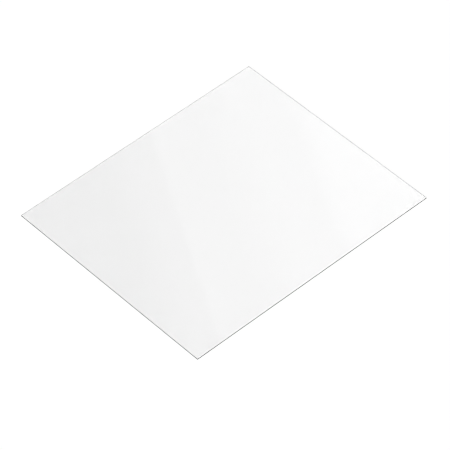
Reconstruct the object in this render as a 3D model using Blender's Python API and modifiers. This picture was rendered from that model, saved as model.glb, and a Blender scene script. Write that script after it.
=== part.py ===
"""A clear PETG sheet, cut to size from extruded stock: one flat piece with four sawn edges.

The sheet lies flat. +X runs along its long side, +Y along its short side and +Z up
through its thickness. The origin is under its middle, on the plane that it lies on.
"""

import math

import bmesh
import bpy
from mathutils import Matrix

# Driving dimensions, in metres
SHEET_LENGTH = 0.3048  # 12 inches, the long side
SHEET_WIDTH = 0.2540  # 10 inches, the short side
SHEET_THICKNESS = 0.001016  # 0.040 inch, the gauge that the stock is sold by
CORNER_RADIUS = 0.0004  # each corner of the outline, eased so that it doesn't prick
EDGE_BREAK = 0.00008  # the arris scraped along both rims of a sawn edge, to take the burr off

# How finely the round stretches are cut
CORNER_STEPS = 4
BREAK_STEPS = 2

# The finish of the plastic
CLEAR_TINT = (0.90, 0.93, 0.94, 1.0)
GLOSS_ROUGHNESS = 0.05
PETG_REFRACTION = 1.57


def clear_scene():
    """Remove whatever the file holds, so that only the sheet is left."""
    for obj in list(bpy.data.objects):
        bpy.data.objects.remove(obj, do_unlink=True)


def clear_plastic():
    """Clear gloss PETG."""
    material = bpy.data.materials.new("clear_petg")
    material.use_nodes = True
    shader = material.node_tree.nodes["Principled BSDF"]
    shader.inputs["Base Color"].default_value = CLEAR_TINT
    shader.inputs["Metallic"].default_value = 0.0
    shader.inputs["Roughness"].default_value = GLOSS_ROUGHNESS
    shader.inputs["IOR"].default_value = PETG_REFRACTION
    shader.inputs["Transmission Weight"].default_value = 1.0
    return material


def sheet_blank():
    """A square-cornered blank at its full size, with its underside at the origin's height."""
    blank = bmesh.new()
    bmesh.ops.create_cube(blank, size=1.0)
    to_size = Matrix.Diagonal((SHEET_LENGTH, SHEET_WIDTH, SHEET_THICKNESS, 1.0))
    onto_floor = Matrix.Translation((0.0, 0.0, SHEET_THICKNESS / 2))
    bmesh.ops.transform(blank, matrix=onto_floor @ to_size, verts=blank.verts)
    return blank


def mark_corner_edges(blank):
    """Weight the four upright edges of the blank, which the corner rounding then picks out."""
    weight = blank.edges.layers.float.new("bevel_weight_edge")
    for edge in blank.edges:
        rise = abs(edge.verts[0].co.z - edge.verts[1].co.z)
        edge[weight] = 1.0 if rise > SHEET_THICKNESS / 2 else 0.0


def add_bevel(obj, name, width, steps):
    """A rounding of the given width, measured from the corner that it takes off."""
    bevel = obj.modifiers.new(name, "BEVEL")
    bevel.offset_type = "OFFSET"
    bevel.width = width
    bevel.segments = steps
    bevel.use_clamp_overlap = True
    return bevel


def make_sheet(collection):
    """The sheet: its outline rounded at the corners, then its two rims broken all round."""
    blank = sheet_blank()
    mark_corner_edges(blank)
    mesh = bpy.data.meshes.new("petg_sheet")
    blank.to_mesh(mesh)
    blank.free()

    sheet = bpy.data.objects.new("petg_sheet", mesh)
    collection.objects.link(sheet)
    mesh.materials.append(clear_plastic())

    corners = add_bevel(sheet, "rounded_corners", CORNER_RADIUS, CORNER_STEPS)
    corners.limit_method = "WEIGHT"

    # The facets of a rounded corner meet at a shallow angle, so only the rims are steep enough.
    rims = add_bevel(sheet, "broken_rims", EDGE_BREAK, BREAK_STEPS)
    rims.limit_method = "ANGLE"
    rims.angle_limit = math.radians(60)
    return sheet


def main():
    clear_scene()
    collection = bpy.data.collections.new("clear_petg_sheet")
    bpy.context.scene.collection.children.link(collection)
    make_sheet(collection)


main()
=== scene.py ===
"""The looks of a clear PETG sheet: two polished faces, a sawn edge all round and a plain studio.

The sheet is one closed shell, worked out with numpy in metres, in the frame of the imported
model: +X runs along its long side, +Y along its short side and +Z up through its thickness.
The file is laid out as an add-on and is run as a script.
"""

import math

import bpy
import numpy as np
from bpy.props import FloatProperty, FloatVectorProperty, IntProperty, PointerProperty
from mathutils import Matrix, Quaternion, Vector


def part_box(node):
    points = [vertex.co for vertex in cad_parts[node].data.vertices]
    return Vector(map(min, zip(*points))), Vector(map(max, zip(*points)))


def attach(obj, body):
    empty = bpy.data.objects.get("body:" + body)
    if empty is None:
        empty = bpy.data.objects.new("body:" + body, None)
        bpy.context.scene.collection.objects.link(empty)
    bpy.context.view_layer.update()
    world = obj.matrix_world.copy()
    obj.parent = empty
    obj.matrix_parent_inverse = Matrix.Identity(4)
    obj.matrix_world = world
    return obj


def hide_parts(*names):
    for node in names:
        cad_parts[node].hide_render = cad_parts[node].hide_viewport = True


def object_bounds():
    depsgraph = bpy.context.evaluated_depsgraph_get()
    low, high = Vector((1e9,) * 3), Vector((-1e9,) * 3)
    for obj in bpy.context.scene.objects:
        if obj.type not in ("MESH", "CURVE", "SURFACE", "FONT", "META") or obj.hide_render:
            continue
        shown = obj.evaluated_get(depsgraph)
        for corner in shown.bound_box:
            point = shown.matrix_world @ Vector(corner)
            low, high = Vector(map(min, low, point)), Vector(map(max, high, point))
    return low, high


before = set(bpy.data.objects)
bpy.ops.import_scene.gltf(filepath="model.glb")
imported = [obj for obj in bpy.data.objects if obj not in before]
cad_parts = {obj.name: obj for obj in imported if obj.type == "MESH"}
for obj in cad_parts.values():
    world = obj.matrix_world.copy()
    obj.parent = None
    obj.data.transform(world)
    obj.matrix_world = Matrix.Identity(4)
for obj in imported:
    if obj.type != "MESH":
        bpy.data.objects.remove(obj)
CAD_LOW, CAD_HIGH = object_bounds()

bl_info = {
    "name": "Clear PETG Sheet",
    "version": (1, 0, 0),
    "blender": (4, 5, 0),
    "location": "View3D > Sidebar > PETG Sheet",
    "description": "Makes a clear plastic sheet with sawn edges, and a plain studio round it",
    "category": "Add Mesh",
}

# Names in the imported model, and where the two boxes are written
SHEET_NODE = "petg_sheet"
SHEET_BODY = "root"

# How many sides the sheet has, and a square of its mesh
SIDES = 4

# How finely the sheet's rounded stretches and the flat of its edge are cut
CORNER_STEPS = 8
BREAK_STEPS = 3
FLAT_STEPS = 5

# The bands that extrusion leaves in a face, each as its share of the depth and its width, and
# the ripple of the rolls across them. The shares add up to 1. The bands drift sideways in a long
# wave, and each face has its own shift of them all.
BANDS = ((0.45, 0.034), (0.25, 0.021), (0.15, 0.013))
RIPPLE_SHARE, RIPPLE_WIDTH = 0.15, 0.027
DRIFT, DRIFT_LENGTH = 0.003, 0.190
UPPER_SHIFT, LOWER_SHIFT = 0.4, 1.9

# How a saw mark leans and bows over the thickness, in pitches, how far from a corner it fades
# out, and how quickly, as a power of a sine, near the rims
MARK_LEAN, MARK_BOW = 0.35, 0.25
MARK_FADE = 0.004
RIM_FADE = 0.25

# The mean share of its depth that a saw mark has, and how fast the share changes along the edge
EVENNESS = 0.7
FAST_CHANGE, SLOW_CHANGE = 2.3, 0.41

# The soft steps in which a strip light brightens, on the way from the darkest line between two
# strips, at 0, to the middle of one, at 1: where each starts and ends, and its share of the rise
STRIP_STEPS = (
    (0.215, 0.358, 0.28),
    (0.380, 0.390, 0.21),
    (0.477, 0.669, 0.22),
    (0.745, 0.800, 0.29),
)

FULL_TURN = 2 * math.pi
SMOOTH_FACES_SLOT, SAWN_EDGE_SLOT = 0, 1
EDGE_MAP = "edge_run"


class SheetSettings(bpy.types.PropertyGroup):
    """What a user would change on the sheet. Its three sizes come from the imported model."""

    corner_radius: FloatProperty(
        name="Corner Radius",
        description="Radius that each corner of the outline is eased to",
        default=0.0004,
        unit="LENGTH",
    )
    edge_break: FloatProperty(
        name="Edge Break",
        description="Radius that both rims of the sawn edge are scraped to",
        default=0.00008,
        unit="LENGTH",
    )
    cell: FloatProperty(
        name="Cell",
        description="Size of the squares that each face is made of",
        default=0.004,
        unit="LENGTH",
    )
    cell_steps: IntProperty(
        name="Steps in a Cell",
        description="Columns of the sawn edge along one square of a face",
        default=16,
    )
    wave_depth: FloatProperty(
        name="Wave Depth",
        description="Depth of the slight waves that extrusion leaves in a face",
        default=0.000015,
        unit="LENGTH",
    )
    saw_pitch: FloatProperty(
        name="Saw Pitch",
        description="Distance from one saw mark to the next along the edge",
        default=0.0012,
        unit="LENGTH",
    )
    saw_depth: FloatProperty(
        name="Saw Depth",
        description="Depth of a saw mark",
        default=0.000025,
        unit="LENGTH",
    )
    clear_tint: FloatVectorProperty(
        name="Clear Tint",
        description="Share of the light that the plastic lets through",
        default=(0.968, 0.968, 0.968, 1.0),
        size=4,
        subtype="COLOR",
    )
    # A near-black colour on the clear part of the sawn edge: painted shade that darkens the edge's
    # lines.
    edge_painted_shade_tint: FloatVectorProperty(
        name="Edge Tint",
        description="Colour of the sawn edge where it is still clear",
        default=(0.055, 0.055, 0.055, 1.0),
        size=4,
        subtype="COLOR",
    )
    scuff_tint: FloatVectorProperty(
        name="Scuff Tint",
        description="Colour of the sawn edge where the teeth have scuffed it",
        default=(0.40, 0.40, 0.40, 1.0),
        size=4,
        subtype="COLOR",
    )
    edge_clearness: FloatProperty(
        name="Edge Clearness",
        description="Share of the light on the sawn edge that goes into it",
        default=0.8,
        subtype="FACTOR",
    )
    refraction: FloatProperty(
        name="Refraction",
        description="How much the plastic bends light",
        default=1.57,
    )


class StageSettings(bpy.types.PropertyGroup):
    """What a user would change on the floor, the light and the camera."""

    floor_colour: FloatVectorProperty(
        name="Floor Colour",
        description="Colour of the floor for the light that it throws back on the sheet",
        default=(0.80, 0.80, 0.80, 1.0),
        size=4,
        subtype="COLOR",
    )
    shadow_colour: FloatVectorProperty(
        name="Shadow Colour",
        description="How much of the seen floor is matt, and so takes the object's shadow",
        default=(0.22, 0.22, 0.22, 1.0),
        size=4,
        subtype="COLOR",
    )
    floor_glow: FloatProperty(
        name="Floor Glow",
        description="What lifts the seen floor from its matt share to white",
        default=0.80,
    )
    room_level: FloatProperty(
        name="Room Level",
        description="Level of the even light from all round",
        default=0.6,
    )
    key_level: FloatProperty(
        name="Key Level",
        description="Level of the soft light from the front left, on something that faces it",
        default=0.7,
    )
    ceiling_height: FloatProperty(
        name="Ceiling Height",
        description="Height of the strip lights, which only gloss shows",
        default=1.6,
        unit="LENGTH",
    )
    strip_spacing: FloatProperty(
        name="Strip Spacing",
        description="Distance from one strip light to the next",
        default=1.32,
        unit="LENGTH",
    )
    strip_turn: FloatProperty(
        name="Strip Turn",
        description="How far the strip lights are turned from the camera's bearing",
        default=math.radians(13.7),
        subtype="ANGLE",
    )
    strip_darkest: FloatProperty(
        name="Darkest Strip Level",
        description="Level half way between two strip lights",
        default=0.04,
    )
    strip_brightest: FloatProperty(
        name="Brightest Strip Level",
        description="Level in the middle of a strip light",
        default=1.145,
    )
    view_bearing: FloatProperty(
        name="View Bearing",
        description="Where the camera stands: 0 looks along +Y and a quarter turn along -X",
        default=math.radians(-42.67),
        subtype="ANGLE",
    )
    view_rise: FloatProperty(
        name="View Rise",
        description="How steeply the camera looks down",
        default=math.radians(46.81),
        subtype="ANGLE",
    )
    view_roll: FloatProperty(
        name="View Roll",
        description="How far the camera is turned about its own line of sight",
        default=math.radians(-0.416),
        subtype="ANGLE",
    )
    view_distance: FloatProperty(
        name="View Distance",
        description="From the camera to the point that it looks at",
        default=3.195,
        unit="LENGTH",
    )
    view_lens: FloatProperty(
        name="View Lens",
        description="Focal length of the camera, in millimetres",
        default=263.0,
        unit="CAMERA",
    )
    view_right: FloatProperty(
        name="View Right",
        description="How far right of the sheet's middle the camera looks",
        default=0.0006,
        unit="LENGTH",
    )
    view_near: FloatProperty(
        name="View Near",
        description="How far this side of the sheet's middle the camera looks",
        default=0.0244,
        unit="LENGTH",
    )


class Socket:
    """An output of a node. Arithmetic on it, with numbers or with other sockets, adds Math nodes."""

    def __init__(self, shading, output):
        self.shading = shading
        self.output = output

    def named(self, name):
        """Another output of the same node."""
        return Socket(self.shading, self.output.node.outputs[name])

    def maths(self, operation, *values):
        """The Math node that does this operation on the values."""
        return self.shading.add("ShaderNodeMath", {"operation": operation}, dict(enumerate(values)))

    def step_up(self, start, end):
        """0 up to the start and 1 from the end on, with a smooth step between the two."""
        return self.shading.add(
            "ShaderNodeMapRange",
            {"interpolation_type": "SMOOTHSTEP"},
            {"Value": self, "From Min": start, "From Max": end},
        )

    def __add__(self, other):
        return self.maths("ADD", self, other)

    def __mul__(self, other):
        return self.maths("MULTIPLY", self, other)

    def __rsub__(self, other):
        return self.maths("SUBTRACT", other, self)

    __radd__ = __add__
    __rmul__ = __mul__


class Shading:
    """The node tree of a material or of the world, emptied, and filled a node at a time."""

    def __init__(self, owner):
        owner.use_nodes = True
        self.tree = owner.node_tree
        self.tree.nodes.clear()

    def add(self, kind, settings=None, inputs=None):
        """A node of this kind with its settings, and then its inputs, each a value or a Socket.
        Gives its first output."""
        node = self.tree.nodes.new(kind)
        for name, value in (settings or {}).items():
            setattr(node, name, value)
        for name, value in (inputs or {}).items():
            if isinstance(value, Socket):
                self.tree.links.new(value.output, node.inputs[name])
            else:
                node.inputs[name].default_value = value
        return Socket(self, node.outputs[0]) if node.outputs else None


def outline(half_length, half_width, radius, cells, steps):
    """The sheet's outline, anticlockwise from the start of the front side.

    A point is the complex number x + iy, so a quarter turn is a product with i. A side is
    worked out as the front one and then turned: a straight run between the grid lines of the
    faces, cut into equal steps, and a quarter circle, centre + radius * exp(ia), at its far
    end. Gives the points, their outward directions, how far each is from the nearest end of
    its straight run (0 round a corner), and for each side the columns that its grid lines meet.
    """
    points, outward, margin, stations = [], [], [], []
    start = 0
    for side in range(SIDES):
        turn = 1j**side
        along, across = (half_length, half_width) if side % 2 == 0 else (half_width, half_length)
        count = cells[side % 2]
        lines = np.linspace(-along, along, count + 1)
        lines[0] += radius
        lines[-1] -= radius
        run = np.interp(np.arange(count * steps) / steps, np.arange(count + 1), lines)
        swing = np.exp(1j * (np.arange(CORNER_STEPS) / CORNER_STEPS - 1) * math.pi / 2)
        centre = (along - radius) - 1j * (across - radius)
        points += [(run - 1j * across) * turn, (centre + radius * swing) * turn]
        outward += [np.full(run.size, -1j * turn), swing * turn]
        margin += [along - radius - np.abs(run), np.zeros(CORNER_STEPS)]
        stations.append(start + steps * np.arange(1, count))
        start += count * steps + CORNER_STEPS
    return np.concatenate(points), np.concatenate(outward), np.concatenate(margin), stations


def edge_profile(thickness, edge_break):
    """The section of the sawn edge from its upper rim to its lower one, as insets and heights.

    A quarter circle of the edge break turns down from the face, inset = radius * (1 - sin a)
    and drop = radius * (1 - cos a). A straight run follows, and then the same quarter mirrored.
    """
    swing = np.linspace(0, math.pi / 2, BREAK_STEPS + 1)
    inset = edge_break * (1 - np.sin(swing))
    drop = edge_break * (1 - np.cos(swing))
    flat = np.linspace(edge_break, thickness - edge_break, FLAT_STEPS + 1)[1:-1]
    insets = np.concatenate([inset, np.zeros(flat.size), inset[::-1]])
    drops = np.concatenate([drop, flat, thickness - drop[::-1]])
    return insets, thickness - drops


def waves(x, y, depth, shift):
    """How far a face lies below its highest plane at x, y: between nothing and the depth.

    The bands run with the extrusion, along X, as sines of y, and drift a little from side to
    side on their way. The fainter ripple crosses them, as a sine of x. The shift moves them
    all, so that the two faces differ.
    """
    drifted = y + DRIFT * np.sin(FULL_TURN * x / DRIFT_LENGTH + shift)
    swing = RIPPLE_SHARE * np.sin(FULL_TURN * x / RIPPLE_WIDTH + shift)
    for order, (share, width) in enumerate(BANDS, start=1):
        swing = swing + share * np.sin(FULL_TURN * drifted / width + order * shift)
    return depth * (1 + swing) / 2


def saw_marks(run, height, margin, pitch, depth):
    """How deep the saw cut into the edge at each point of it, given its distance along the edge,
    its height as a share of the thickness and its margin to the nearest corner.

    A mark is a rounded groove, the square of a sine of the distance over the pitch. A round
    blade left it, so it bows with the square of the height. Two more sines make the marks
    uneven, and they fade out within a few millimetres of an eased corner.
    """
    phase = run / pitch + MARK_LEAN * height + MARK_BOW * height**2
    uneven = EVENNESS + (1 - EVENNESS) * np.sin(FAST_CHANGE * phase) * np.sin(SLOW_CHANGE * phase)
    fade = np.clip(margin / MARK_FADE, 0, 1)
    return depth * np.sin(math.pi * phase) ** 2 * uneven * fade


def face_cells(stations, columns, steps, rim, inner):
    """The faces of one side of the sheet, anticlockwise: squares within, and along the rim
    triangles that fan out to each column of the edge, so that no seam is left open.

    rim gives the vertex of each column, and inner those of the grid lines' crossings. Between
    two grid lines, the near crossing takes the first half of the columns, the far one takes
    the rest, and a triangle joins both to the middle column. A corner is one fan.
    """
    squares = np.stack([inner[:-1, :-1], inner[1:, :-1], inner[1:, 1:], inner[:-1, 1:]], axis=-1)
    borders = [inner[:, 0], inner[-1, :], inner[::-1, -1], inner[0, ::-1]]
    half = steps // 2
    step = np.arange(steps)
    fans = []
    for meets, border in zip(stations, borders):
        near, far = border[:-1], border[1:]
        starts = meets[:-1, None] + step
        tips = np.where(step < half, near[:, None], far[:, None])
        fans.append(np.stack([rim[starts], rim[starts + 1], tips], axis=-1).reshape(-1, 3))
        fans.append(np.stack([rim[meets[:-1] + half], far, near], axis=-1))
        corner = rim[(meets[-1] + np.arange(2 * steps + CORNER_STEPS + 1)) % columns]
        tip = np.full(corner.size - 1, border[-1])
        fans.append(np.stack([corner[:-1], corner[1:], tip], axis=-1))
    return squares.reshape(-1, SIDES), np.concatenate(fans)


def edge_grid(settings, size, cells):
    """The sawn edge, with a column for each point of the outline and a row for each height.

    It is the outline moved inwards by the profile's insets, and on the flat of the edge by
    the saw marks too. Gives the grid as complex numbers, its heights, the distance run up to
    each column, with the whole way round at the end, and the columns that the faces' grid
    lines meet.
    """
    length, width, thickness = size
    points, outward, margin, stations = outline(
        length / 2, width / 2, settings.corner_radius, cells, settings.cell_steps
    )
    insets, heights = edge_profile(thickness, settings.edge_break)
    run = np.concatenate([[0], np.cumsum(np.abs(np.diff(np.append(points, points[0]))))])
    share = (heights / thickness)[:, None]
    on_flat = np.sin(math.pi * share) ** RIM_FADE * (insets[:, None] == 0)
    cut = saw_marks(run[:-1], share, margin, settings.saw_pitch, settings.saw_depth) * on_flat
    return points - (insets[:, None] + cut) * outward, heights, run, stations


def sheet_places(settings, size, cells, ring, heights):
    """The points of the shell, about the middle of its underside: the edge's rows from the upper
    rim down, then the grid of the upper face and that of the lower one.

    The waves press both faces in, and the edge's rows move up and down with the faces, in
    proportion to their height.
    """
    length, width, thickness = size
    inner_x, inner_y = np.meshgrid(
        np.linspace(-length / 2, length / 2, cells[0] + 1)[1:-1],
        np.linspace(-width / 2, width / 2, cells[1] + 1)[1:-1],
        indexing="ij",
    )

    def upper(x, y):
        return thickness - waves(x, y, settings.wave_depth, UPPER_SHIFT)

    def lower(x, y):
        return waves(x, y, settings.wave_depth, LOWER_SHIFT)

    underside = lower(ring.real, ring.imag)
    share = (heights / thickness)[:, None]
    ring_z = underside + share * (upper(ring.real, ring.imag) - underside)
    surfaces = (
        (ring.real, ring.imag, ring_z),
        (inner_x, inner_y, upper(inner_x, inner_y)),
        (inner_x, inner_y, lower(inner_x, inner_y)),
    )
    return np.concatenate([np.stack(surface, axis=-1).reshape(-1, 3) for surface in surfaces])


def sheet_faces(cells, steps, rows, columns, stations):
    """The faces of the shell, as arrays of the points that they join: first the squares of the
    edge, and then what both faces of the sheet are made of."""
    vertex = np.arange(rows * columns).reshape(rows, columns)
    beside = np.roll(vertex, -1, axis=1)
    edge = np.stack([vertex[:-1], vertex[1:], beside[1:], beside[:-1]], axis=-1)
    crossings = (cells[0] - 1, cells[1] - 1)
    inner = rows * columns + np.arange(math.prod(crossings)).reshape(crossings)
    top = face_cells(stations, columns, steps, vertex[0], inner)
    under = face_cells(stations, columns, steps, vertex[-1], inner + inner.size)
    return [edge.reshape(-1, SIDES), *top, *(part[:, ::-1] for part in under)]


def sharpen_rims(mesh, rows, columns):
    """Mark both rims sharp, so that the shading of the flat faces doesn't bend at the edge."""
    ends = np.empty(2 * len(mesh.edges), int)
    mesh.edges.foreach_get("vertices", ends)
    row = ends.reshape(-1, 2) // columns
    on_rim = (row[:, 0] == row[:, 1]) & np.isin(row[:, 0], (0, rows - 1))
    mesh.edges.foreach_set("use_edge_sharp", on_rim)


def map_edge(mesh, run, heights):
    """A UV map of the edge: the distance run round it and the height on it, both in metres.

    The mesh begins with the edge's squares. Their corners are the upper and the lower one of a
    column, and then the lower and the upper one of the next. The sheet's two faces stay at 0.
    """
    near, far = run[:-1], run[1:]
    along = np.stack([near, near, far, far], axis=-1)[None].repeat(heights.size - 1, axis=0)
    upright = np.stack([heights[:-1], heights[1:], heights[1:], heights[:-1]], axis=-1)
    upright = upright[:, None].repeat(near.size, axis=1)
    edge = np.stack([along, upright], axis=-1).reshape(-1, 2)
    marks = np.zeros((len(mesh.loops), 2))
    marks[: len(edge)] = edge
    mesh.uv_layers.new(name=EDGE_MAP).uv.foreach_set("vector", marks.ravel())


def sheet_mesh(settings):
    """The sheet as one closed shell, where its plain solid lies."""
    low, high = (np.array(corner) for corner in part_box(SHEET_NODE))
    size = high - low
    cells = np.rint(size[:2] / settings.cell).astype(int)
    ring, heights, run, stations = edge_grid(settings, size, cells)
    places = sheet_places(settings, size, cells, ring, heights)
    places += ((low[0] + high[0]) / 2, (low[1] + high[1]) / 2, low[2])
    edge, *flats = sheet_faces(cells, settings.cell_steps, *ring.shape, stations)
    faces = edge.tolist()
    for part in flats:
        faces += part.tolist()

    mesh = bpy.data.meshes.new("clear_sheet")
    mesh.from_pydata(places.tolist(), [], faces)
    slots = np.full(len(faces), SMOOTH_FACES_SLOT)
    slots[: len(edge)] = SAWN_EDGE_SLOT
    mesh.polygons.foreach_set("material_index", slots)
    mesh.shade_smooth()
    sharpen_rims(mesh, *ring.shape)
    map_edge(mesh, run, heights)
    mesh.validate()
    return mesh


def polished_faces(settings):
    """Clear gloss plastic with faint die lines along the extrusion and the rolls' orange peel."""
    line_width, line_depth, line_stretch = 0.0024, 0.0000012, 50
    peel_width, peel_depth = 0.011, 0.000004
    haze_width, least_roughness, haze_roughness = 0.0167, 0.01, 0.02
    material = bpy.data.materials.new("polished_faces")
    shading = Shading(material)
    place = shading.add("ShaderNodeTexCoord").named("Object")
    stretched = shading.add(
        "ShaderNodeVectorMath",
        {"operation": "MULTIPLY"},
        {0: place, 1: (1 / line_stretch, 1.0, 1.0)},
    )
    lines = shading.add(
        "ShaderNodeTexNoise", None, {"Vector": stretched, "Scale": 1 / line_width, "Detail": 2.0}
    )
    peel = shading.add(
        "ShaderNodeTexNoise", None, {"Vector": place, "Scale": 1 / peel_width, "Detail": 1.0}
    )
    haze = shading.add(
        "ShaderNodeTexNoise", None, {"Vector": stretched, "Scale": 1 / haze_width, "Detail": 3.0}
    )
    relief = line_depth * lines + peel_depth * peel
    normal = shading.add("ShaderNodeBump", None, {"Height": relief, "Distance": 1.0})
    surface = shading.add(
        "ShaderNodeBsdfPrincipled",
        None,
        {
            "Base Color": settings.clear_tint,
            "Roughness": least_roughness + haze_roughness * haze,
            "IOR": settings.refraction,
            "Transmission Weight": 1.0,
            "Normal": normal,
        },
    )
    shading.add("ShaderNodeOutputMaterial", None, {"Surface": surface})
    return material


def sawn_edge(settings):
    """Sawn plastic: clear in its depth, with a near-black tint there that is painted shade, and pale
    scuffs where the saw's teeth ran across.
    """
    tooth_pitch, tooth_share = 0.00035, 0.15
    grain_width, grain_stretch = 0.00019, 4
    still_clear, scuffed = 0.36, 0.74
    clear_roughness, scuffed_roughness = 0.2, 0.5
    scuff_depth = 0.000006
    bands_in_a_unit = 20 / FULL_TURN  # of the wave pattern, at a scale of 1
    material = bpy.data.materials.new("sawn_edge")
    shading = Shading(material)
    along = shading.add("ShaderNodeUVMap", {"uv_map": EDGE_MAP})
    teeth = shading.add(
        "ShaderNodeTexWave",
        {"wave_type": "BANDS", "bands_direction": "X"},
        {
            "Vector": along,
            "Scale": 1 / (tooth_pitch * bands_in_a_unit),
            "Distortion": 2.5,
            "Detail": 2.0,
            "Detail Scale": 1.0,
        },
    ).named("Fac")
    upright = shading.add(
        "ShaderNodeVectorMath",
        {"operation": "MULTIPLY"},
        {0: along, 1: (1.0, 1 / grain_stretch, 1.0)},
    )
    grain = shading.add(
        "ShaderNodeTexNoise", None, {"Vector": upright, "Scale": 1 / grain_width, "Detail": 4.0}
    )
    scuffs = (tooth_share * teeth + (1 - tooth_share) * grain).step_up(still_clear, scuffed)
    # The clear part of the edge takes a near-black tint, which is painted shade; the pale scuffs are
    # the edge's own marks.
    colour = shading.add(
        "ShaderNodeMix",
        {"data_type": "RGBA"},
        {"Factor": scuffs, 6: settings.edge_painted_shade_tint, 7: settings.scuff_tint},
    ).named(2)
    normal = shading.add("ShaderNodeBump", None, {"Height": scuff_depth * scuffs, "Distance": 1.0})
    surface = shading.add(
        "ShaderNodeBsdfPrincipled",
        None,
        {
            "Base Color": colour,
            "Roughness": clear_roughness + (scuffed_roughness - clear_roughness) * scuffs,
            "IOR": settings.refraction,
            "Transmission Weight": settings.edge_clearness,
            "Normal": normal,
        },
    )
    shading.add("ShaderNodeOutputMaterial", None, {"Surface": surface})
    return material


def in_sight(shading, straight=True):
    """1 for what the camera sees by way of gloss or through clear plastic, and also for what it
    sees straight on, unless straight is false. 0 for the light that falls on things."""
    path = shading.add("ShaderNodeLightPath")
    sight = path.named("Is Glossy Ray") + path.named("Is Transmission Ray")
    if straight:
        sight = sight + path.named("Is Camera Ray")
    unscattered = path.maths("LESS_THAN", path.named("Diffuse Depth"), 0.5)
    return path.maths("MINIMUM", sight, 1.0) * unscattered


def flat_square(name, side):
    """A square of this side about the origin, facing up."""
    half = side / 2
    corners = [(-half, -half, 0), (half, -half, 0), (half, half, 0), (-half, half, 0)]
    mesh = bpy.data.meshes.new(name)
    mesh.from_pydata(corners, [], [(0, 1, 2, 3)])
    square = bpy.data.objects.new(name, mesh)
    bpy.context.scene.collection.objects.link(square)
    return square


def add_floor(stage):
    """A pale floor just under the sheet, lifted to white for what sees it."""
    side, gap = 30.0, 0.0003
    floor = flat_square("floor", side)
    floor.location.z = CAD_LOW.z - gap
    material = bpy.data.materials.new("floor")
    shading = Shading(material)
    lighting = shading.add("ShaderNodeBsdfDiffuse", None, {"Color": stage.floor_colour})
    matt = shading.add("ShaderNodeBsdfDiffuse", None, {"Color": stage.shadow_colour})
    glow = shading.add("ShaderNodeEmission", None, {"Strength": stage.floor_glow})
    shown = shading.add("ShaderNodeAddShader", None, {0: matt, 1: glow})
    surface = shading.add(
        "ShaderNodeMixShader", None, {0: in_sight(shading), 1: lighting, 2: shown}
    )
    shading.add("ShaderNodeOutputMaterial", None, {"Surface": surface})
    floor.data.materials.append(material)


def add_strip_lights(stage):
    """Soft strip lights overhead that only gloss shows, and that fade into the white room far out.

    The way from the darkest line between two strips to the middle of a strip is a triangle wave
    of the place across them, and the level is a sum of smooth steps in it. The camera sees the
    point half way mirrored in the middle of the sheet.
    """
    side, fade_start, fade_end = 16.0, 3.5, 7.5
    strips = flat_square("strip_lights", side)
    reach = stage.ceiling_height / math.tan(stage.view_rise)
    strips.location = (
        -math.sin(stage.view_bearing) * reach,
        math.cos(stage.view_bearing) * reach,
        stage.ceiling_height,
    )
    strips.rotation_euler.z = stage.view_bearing + stage.strip_turn
    strips.visible_camera = False
    strips.visible_diffuse = False
    strips.visible_shadow = False
    material = bpy.data.materials.new("strip_lights")
    shading = Shading(material)
    place = shading.add("ShaderNodeTexCoord").named("Object")
    across = shading.add("ShaderNodeSeparateXYZ", None, {0: place})
    way = across.maths("PINGPONG", across * (2 / stage.strip_spacing) + 0.5, 1.0)
    rise = sum(share * way.step_up(start, end) for start, end, share in STRIP_STEPS)
    level = stage.strip_darkest + (stage.strip_brightest - stage.strip_darkest) * rise
    far = shading.add("ShaderNodeVectorMath", {"operation": "LENGTH"}, {0: place}).named("Value")
    fade = far.step_up(fade_start, fade_end)
    glow = shading.add("ShaderNodeEmission", None, {"Color": level + fade * (1 - level)})
    clear = shading.add("ShaderNodeBsdfTransparent")
    surface = shading.add(
        "ShaderNodeMixShader", None, {0: in_sight(shading, straight=False), 1: clear, 2: glow}
    )
    shading.add("ShaderNodeOutputMaterial", None, {"Surface": surface})
    strips.data.materials.append(material)


def add_key_light(stage):
    """An even soft light from the front left, which makes the left edge paler than the right one."""
    towards = Vector((-0.95, -0.2, 0.62)).normalized()
    spread = math.radians(45)
    light = bpy.data.lights.new("key_light", "SUN")
    light.angle = spread
    light.energy = stage.key_level * math.pi
    lamp = bpy.data.objects.new("key_light", light)
    lamp.rotation_euler = towards.to_track_quat("Z", "Y").to_euler()
    bpy.context.scene.collection.objects.link(lamp)


def light_room(stage):
    """An even white room, shown at full white and lighting things at the room level."""
    world = bpy.data.worlds.new("white_room")
    bpy.context.scene.world = world
    shading = Shading(world)
    level = stage.room_level + (1 - stage.room_level) * in_sight(shading)
    room = shading.add("ShaderNodeBackground", None, {"Color": level})
    shading.add("ShaderNodeOutputWorld", None, {"Surface": room})


def add_camera(stage):
    """The camera at the photograph's viewing angle, framed on the sheet as the photograph is."""
    turn, rise = stage.view_bearing, stage.view_rise
    right = Vector((math.cos(turn), math.sin(turn), 0))
    away = Vector((-math.sin(turn), math.cos(turn), 0))
    back = Vector((0, 0, math.sin(rise))) - away * math.cos(rise)
    aim = (CAD_LOW + CAD_HIGH) / 2 + right * stage.view_right - away * stage.view_near
    lens = bpy.data.cameras.new("camera")
    lens.sensor_width = 36.0
    lens.lens = stage.view_lens
    lens.clip_start = 0.1
    lens.clip_end = 100.0
    camera = bpy.data.objects.new("camera", lens)
    level = back.to_track_quat("Z", "Y")
    camera.location = aim + back * stage.view_distance
    camera.rotation_euler = (level @ Quaternion((0, 0, 1), stage.view_roll)).to_euler()
    bpy.context.scene.collection.objects.link(camera)
    bpy.context.scene.camera = camera


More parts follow.
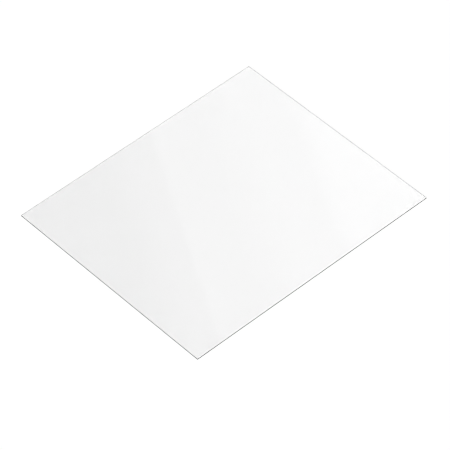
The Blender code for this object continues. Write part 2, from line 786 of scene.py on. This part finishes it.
class SHEET_OT_make_sheet(bpy.types.Operator):
    """Make the sheet in place of its plain solid"""

    bl_idname = "petg.make_sheet"
    bl_label = "Make Sheet"

    def execute(self, context):
        settings = context.scene.petg_sheet
        sheet = bpy.data.objects.new("clear_sheet", sheet_mesh(settings))
        context.scene.collection.objects.link(sheet)
        sheet.data.materials.append(polished_faces(settings))
        sheet.data.materials.append(sawn_edge(settings))
        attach(sheet, SHEET_BODY)
        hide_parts(SHEET_NODE)
        return {"FINISHED"}


class SHEET_OT_set_stage(bpy.types.Operator):
    """Set up the floor, the light and the camera"""

    bl_idname = "petg.set_stage"
    bl_label = "Set Stage"

    def execute(self, context):
        stage = context.scene.petg_stage
        context.scene.view_settings.view_transform = "Standard"
        # Filtered gloss would spread and lose the light that reaches the floor through the sheet.
        context.scene.cycles.blur_glossy = 0.0
        # The photograph is crisp, and the sheet's edges are thinner than one of its pixels.
        context.scene.cycles.filter_width = 1.0
        add_floor(stage)
        add_strip_lights(stage)
        add_key_light(stage)
        light_room(stage)
        add_camera(stage)
        return {"FINISHED"}


class SHEET_PT_sidebar(bpy.types.Panel):
    """The sheet's and the stage's settings, each with its button"""

    bl_label = "PETG Sheet"
    bl_space_type = "VIEW_3D"
    bl_region_type = "UI"
    bl_category = "PETG Sheet"

    def draw(self, context):
        groups = (
            (context.scene.petg_sheet, SHEET_OT_make_sheet),
            (context.scene.petg_stage, SHEET_OT_set_stage),
        )
        for settings, operator in groups:
            box = self.layout.box()
            for name in settings.__annotations__:
                box.prop(settings, name)
            box.operator(operator.bl_idname)


CLASSES = (
    SheetSettings,
    StageSettings,
    SHEET_OT_make_sheet,
    SHEET_OT_set_stage,
    SHEET_PT_sidebar,
)


def register():
    for cls in CLASSES:
        bpy.utils.register_class(cls)
    bpy.types.Scene.petg_sheet = PointerProperty(type=SheetSettings)
    bpy.types.Scene.petg_stage = PointerProperty(type=StageSettings)


def unregister():
    del bpy.types.Scene.petg_stage
    del bpy.types.Scene.petg_sheet
    for cls in reversed(CLASSES):
        bpy.utils.unregister_class(cls)


def main():
    register()
    bpy.ops.petg.make_sheet()
    bpy.ops.petg.set_stage()


if __name__ == "__main__":
    main()
